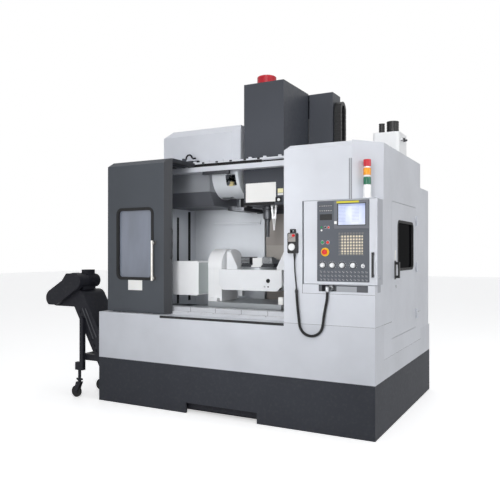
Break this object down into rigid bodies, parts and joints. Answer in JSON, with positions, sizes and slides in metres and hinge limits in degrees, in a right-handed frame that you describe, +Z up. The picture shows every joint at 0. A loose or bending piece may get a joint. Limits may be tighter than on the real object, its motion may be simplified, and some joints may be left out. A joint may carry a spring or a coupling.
{
  "type": "cnc machining center",
  "caption": "Vertical machining center with sliding front doors, tilting rotary table, side tool drum, swing operator panel and chip conveyor on a caster stand.",
  "frame": {"origin": "middle of the underside of the whole machine's box, on the floor", "axes": "+X to the right seen from the operator's side, +Y to the rear, +Z up"},
  "size_m": [3.3574, 2.002, 3.096],
  "materials": {
    "light_paint": "satin",
    "dark_paint": "satin",
    "charcoal_paint": "satin",
    "black_paint": "satin",
    "white_paint": "satin",
    "casting": "matte",
    "steel": "brushed",
    "stainless": "brushed",
    "window": "gloss",
    "screen": "gloss",
    "red_plastic": "gloss",
    "black_plastic": "matte",
    "green_plastic": "gloss",
    "lamp_plastic": "gloss",
    "rubber": "matte"
  },
  "bodies": {
    "machine": {"base_skirt": "charcoal_paint", "machine_bed": "casting", "column_casting": "casting", "column_cover": "dark_paint", "splash_apron": "light_paint", "door_sill": "white_paint", "inner_guard": "light_paint", "right_cabinet": "light_paint", "front_crossbeam": "light_paint", "magazine_hood": "light_paint", "drum_cover": "light_paint", "signal_tower": "lamp_plastic", "mist_unit": "white_paint", "electrical_cabinet": "light_paint", "conveyor_frame": "black_paint", "conveyor_belt": "steel", "conveyor_drive": "black_paint", "pendant_body": "black_plastic", "pendant_cable": "rubber", "cable_sleeve": "rubber", "cable_connector": "steel"},
    "left_door": {"left_door": "dark_paint", "left_door_window": "window", "left_door_handle": "stainless"},
    "right_door": {"right_door": "dark_paint", "right_door_window": "window"},
    "side_door": {"side_door": "light_paint", "side_door_window": "window"},
    "operator_panel": {"operator_panel": "light_paint", "display_screen": "screen"},
    "emergency_stop": {"emergency_stop": "red_plastic"},
    "override_knob_1": {"override_knob_1": "black_plastic"},
    "override_knob_2": {"override_knob_2": "black_plastic"},
    "override_knob_3": {"override_knob_3": "black_plastic"},
    "override_knob_4": {"override_knob_4": "black_plastic"},
    "cycle_start_button": {"cycle_start_button": "green_plastic"},
    "feed_hold_button": {"feed_hold_button": "red_plastic"},
    "key_switch": {"key_switch": "stainless"},
    "pendant_wheel": {"pendant_wheel": "black_plastic"},
    "saddle": {"saddle": "casting"},
    "y_cover_front": {"y_cover_front": "black_paint"},
    "x_cover_left": {"x_cover_left": "black_paint"},
    "x_cover_right": {"x_cover_right": "black_paint"},
    "machine_table": {"machine_table": "casting", "rotary_base": "white_paint"},
    "cradle": {"cradle": "white_paint"},
    "faceplate": {"faceplate": "steel", "fixture_vise": "steel"},
    "head": {"head_casting": "casting", "head_cover": "dark_paint"},
    "z_cover": {"z_cover": "black_paint"},
    "spindle_tool": {"spindle_tool": "steel"},
    "cable_chain": {"cable_chain": "black_plastic"},
    "magazine_disc": {"magazine_disc": "steel"},
    "tool_change_arm": {"tool_change_arm": "steel"},
    "electrical_door": {"electrical_door": "light_paint"},
    "caster_fork_1": {"caster_fork_1": "black_paint"},
    "caster_fork_2": {"caster_fork_2": "black_paint"},
    "caster_wheel_1": {"caster_wheel_1": "rubber"},
    "caster_wheel_2": {"caster_wheel_2": "rubber"}
  },
  "joints": [
    {"name": "left_door_slide", "type": "slide", "parent": "machine", "child": "left_door", "axis": [1, 0, 0], "range_m": [0, 0.577]},
    {"name": "right_door_slide", "type": "slide", "parent": "machine", "child": "right_door", "axis": [1, 0, 0], "range_m": [-0.577, 0]},
    {"name": "side_door_hinge", "type": "hinge", "parent": "machine", "child": "side_door", "pos_m": [1.64875, 0.389, 0.83], "axis": [0, 0, 1], "range_deg": [0, 105]},
    {"name": "panel_swing", "type": "hinge", "parent": "machine", "child": "operator_panel", "pos_m": [1.07875, -0.935, 1.156], "axis": [0, 0, 1], "range_deg": [-90, 0]},
    {"name": "emergency_stop_press", "type": "slide", "parent": "operator_panel", "child": "emergency_stop", "axis": [0, 1, 0], "range_m": [0, 0.006]},
    {"name": "override_knob_1_turn", "type": "hinge", "parent": "operator_panel", "child": "override_knob_1", "pos_m": [1.22775, -0.949, 1.3], "axis": [0, 1, 0], "range_deg": [-135, 135]},
    {"name": "override_knob_2_turn", "type": "hinge", "parent": "operator_panel", "child": "override_knob_2", "pos_m": [1.30575, -0.949, 1.3], "axis": [0, 1, 0], "range_deg": [-135, 135]},
    {"name": "override_knob_3_turn", "type": "hinge", "parent": "operator_panel", "child": "override_knob_3", "pos_m": [1.38475, -0.949, 1.3], "axis": [0, 1, 0], "range_deg": [-135, 135]},
    {"name": "override_knob_4_turn", "type": "hinge", "parent": "operator_panel", "child": "override_knob_4", "pos_m": [1.46975, -0.949, 1.3], "axis": [0, 1, 0], "range_deg": [-135, 135]},
    {"name": "cycle_start_press", "type": "slide", "parent": "operator_panel", "child": "cycle_start_button", "axis": [0, 1, 0], "range_m": [0, 0.004], "stiffness_N_per_m": 600},
    {"name": "feed_hold_press", "type": "slide", "parent": "operator_panel", "child": "feed_hold_button", "axis": [0, 1, 0], "range_m": [0, 0.004], "stiffness_N_per_m": 600},
    {"name": "key_switch_turn", "type": "hinge", "parent": "operator_panel", "child": "key_switch", "pos_m": [1.54675, -0.949, 1.297], "axis": [0, 1, 0], "range_deg": [0, 90]},
    {"name": "pendant_wheel_turn", "type": "hinge", "parent": "machine", "child": "pendant_wheel", "pos_m": [0.98775, -0.989, 1.44], "axis": [0, 1, 0], "continuous": true},
    {"name": "saddle_slide", "type": "slide", "parent": "machine", "child": "saddle", "axis": [0, 1, 0], "range_m": [-0.045, 0.345]},
    {"name": "y_cover_front_slide", "type": "slide", "parent": "machine", "child": "y_cover_front", "axis": [0, 1, 0], "range_m": [-0.0225, 0.1725]},
    {"name": "table_slide", "type": "slide", "parent": "saddle", "child": "machine_table", "axis": [1, 0, 0], "range_m": [-0.33, 0.43]},
    {"name": "x_cover_left_slide", "type": "slide", "parent": "saddle", "child": "x_cover_left", "axis": [1, 0, 0], "range_m": [-0.165, 0.215]},
    {"name": "x_cover_right_slide", "type": "slide", "parent": "saddle", "child": "x_cover_right", "axis": [1, 0, 0], "range_m": [-0.165, 0.215]},
    {"name": "cradle_tilt", "type": "hinge", "parent": "machine_table", "child": "cradle", "pos_m": [0.39875, -0.383, 1.275], "axis": [1, 0, 0], "range_deg": [-30, 110]},
    {"name": "faceplate_turn", "type": "hinge", "parent": "cradle", "child": "faceplate", "pos_m": [0.39875, -0.383, 1.265], "axis": [0, 0, 1], "continuous": true},
    {"name": "head_slide", "type": "slide", "parent": "machine", "child": "head", "axis": [0, 0, 1], "range_m": [-0.56, 0]},
    {"name": "z_cover_slide", "type": "slide", "parent": "machine", "child": "z_cover", "axis": [0, 0, 1], "range_m": [-0.28, 0]},
    {"name": "cable_chain_slide", "type": "slide", "parent": "machine", "child": "cable_chain", "axis": [0, 0, 1], "range_m": [-0.28, 0]},
    {"name": "spindle_turn", "type": "hinge", "parent": "head", "child": "spindle_tool", "pos_m": [0.33475, -0.093, 1.798], "axis": [0, 0, 1], "continuous": true},
    {"name": "magazine_turn", "type": "hinge", "parent": "machine", "child": "magazine_disc", "pos_m": [-0.13325, -0.093, 2.17], "axis": [1, 0, 0], "continuous": true},
    {"name": "tool_change_swing", "type": "hinge", "parent": "machine", "child": "tool_change_arm", "pos_m": [0.10075, -0.093, 1.796], "axis": [0, 0, 1], "range_deg": [0, 90]},
    {"name": "electrical_door_hinge", "type": "hinge", "parent": "machine", "child": "electrical_door", "pos_m": [0.91675, 0.9773, 0.667], "axis": [0, 0, 1], "range_deg": [0, 110]},
    {"name": "caster_swivel_1", "type": "hinge", "parent": "machine", "child": "caster_fork_1", "pos_m": [-1.26925, -0.953, 0.15], "axis": [0, 0, 1], "continuous": true},
    {"name": "caster_roll_1", "type": "hinge", "parent": "caster_fork_1", "child": "caster_wheel_1", "pos_m": [-1.30725, -0.953, 0.055], "axis": [0, 1, 0], "continuous": true},
    {"name": "caster_swivel_2", "type": "hinge", "parent": "machine", "child": "caster_fork_2", "pos_m": [-1.26925, -0.613, 0.15], "axis": [0, 0, 1], "continuous": true},
    {"name": "caster_roll_2", "type": "hinge", "parent": "caster_fork_2", "child": "caster_wheel_2", "pos_m": [-1.30725, -0.613, 0.055], "axis": [0, 1, 0], "continuous": true}
  ],
  "couplings": [
    {"joint": "y_cover_front_slide", "follows": "saddle_slide", "ratio": 0.5},
    {"joint": "x_cover_left_slide", "follows": "table_slide", "ratio": 0.5},
    {"joint": "x_cover_right_slide", "follows": "table_slide", "ratio": 0.5},
    {"joint": "z_cover_slide", "follows": "head_slide", "ratio": 0.5},
    {"joint": "cable_chain_slide", "follows": "head_slide", "ratio": 0.5}
  ]
}
